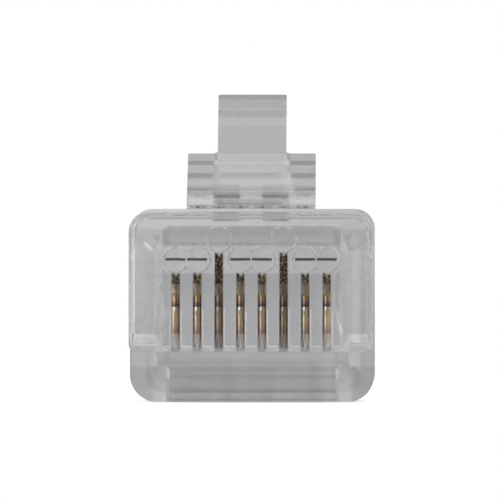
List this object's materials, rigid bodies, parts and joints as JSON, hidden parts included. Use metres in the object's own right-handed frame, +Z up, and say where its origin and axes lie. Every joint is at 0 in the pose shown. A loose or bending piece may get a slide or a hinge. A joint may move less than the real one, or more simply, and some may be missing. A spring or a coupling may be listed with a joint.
{
  "type": "rj45 modular plug",
  "caption": "Clear modular network plug for a thick cable, with a sprung latch, gold-plated contact blades, staggered wire channels and a fold-in strain relief bar.",
  "frame": {"origin": "middle of the nose face, half way up the 6.6 mm nose, where the plug meets its jack", "axes": "+X across the plug, +Y from the nose back to the cable entry, +Z up towards the latch; contact 1 is at -X"},
  "size_m": [0.0116, 0.0228, 0.0146],
  "materials": {
    "clear_plastic": "clear polished polycarbonate",
    "gold_plate": "gold plated"
  },
  "bodies": {
    "housing": {"housing": "clear_plastic"},
    "latch": {"latch": "clear_plastic"},
    "strain_relief_bar": {"strain_relief_bar": "clear_plastic"},
    "contact_1": {"contact_1": "gold_plate"},
    "contact_2": {"contact_2": "gold_plate"},
    "contact_3": {"contact_3": "gold_plate"},
    "contact_4": {"contact_4": "gold_plate"},
    "contact_5": {"contact_5": "gold_plate"},
    "contact_6": {"contact_6": "gold_plate"},
    "contact_7": {"contact_7": "gold_plate"},
    "contact_8": {"contact_8": "gold_plate"}
  },
  "joints": [
    {"name": "latch_press", "type": "hinge", "parent": "housing", "child": "latch", "pos_m": [0, 0.0019, 0.00387], "axis": [-1, 0, 0], "range_deg": [0, 10], "stiffness_Nm_per_rad": 0.3},
    {"name": "strain_relief_fold", "type": "hinge", "parent": "housing", "child": "strain_relief_bar", "pos_m": [0, 0.0172, -0.00502], "axis": [-1, 0, 0], "range_deg": [0, 15]},
    {"name": "contact_1_crimp", "type": "slide", "parent": "housing", "child": "contact_1", "axis": [0, 0, 1], "range_m": [0, 0.00045]},
    {"name": "contact_2_crimp", "type": "slide", "parent": "housing", "child": "contact_2", "axis": [0, 0, 1], "range_m": [0, 0.00045]},
    {"name": "contact_3_crimp", "type": "slide", "parent": "housing", "child": "contact_3", "axis": [0, 0, 1], "range_m": [0, 0.00045]},
    {"name": "contact_4_crimp", "type": "slide", "parent": "housing", "child": "contact_4", "axis": [0, 0, 1], "range_m": [0, 0.00045]},
    {"name": "contact_5_crimp", "type": "slide", "parent": "housing", "child": "contact_5", "axis": [0, 0, 1], "range_m": [0, 0.00045]},
    {"name": "contact_6_crimp", "type": "slide", "parent": "housing", "child": "contact_6", "axis": [0, 0, 1], "range_m": [0, 0.00045]},
    {"name": "contact_7_crimp", "type": "slide", "parent": "housing", "child": "contact_7", "axis": [0, 0, 1], "range_m": [0, 0.00045]},
    {"name": "contact_8_crimp", "type": "slide", "parent": "housing", "child": "contact_8", "axis": [0, 0, 1], "range_m": [0, 0.00045]}
  ]
}
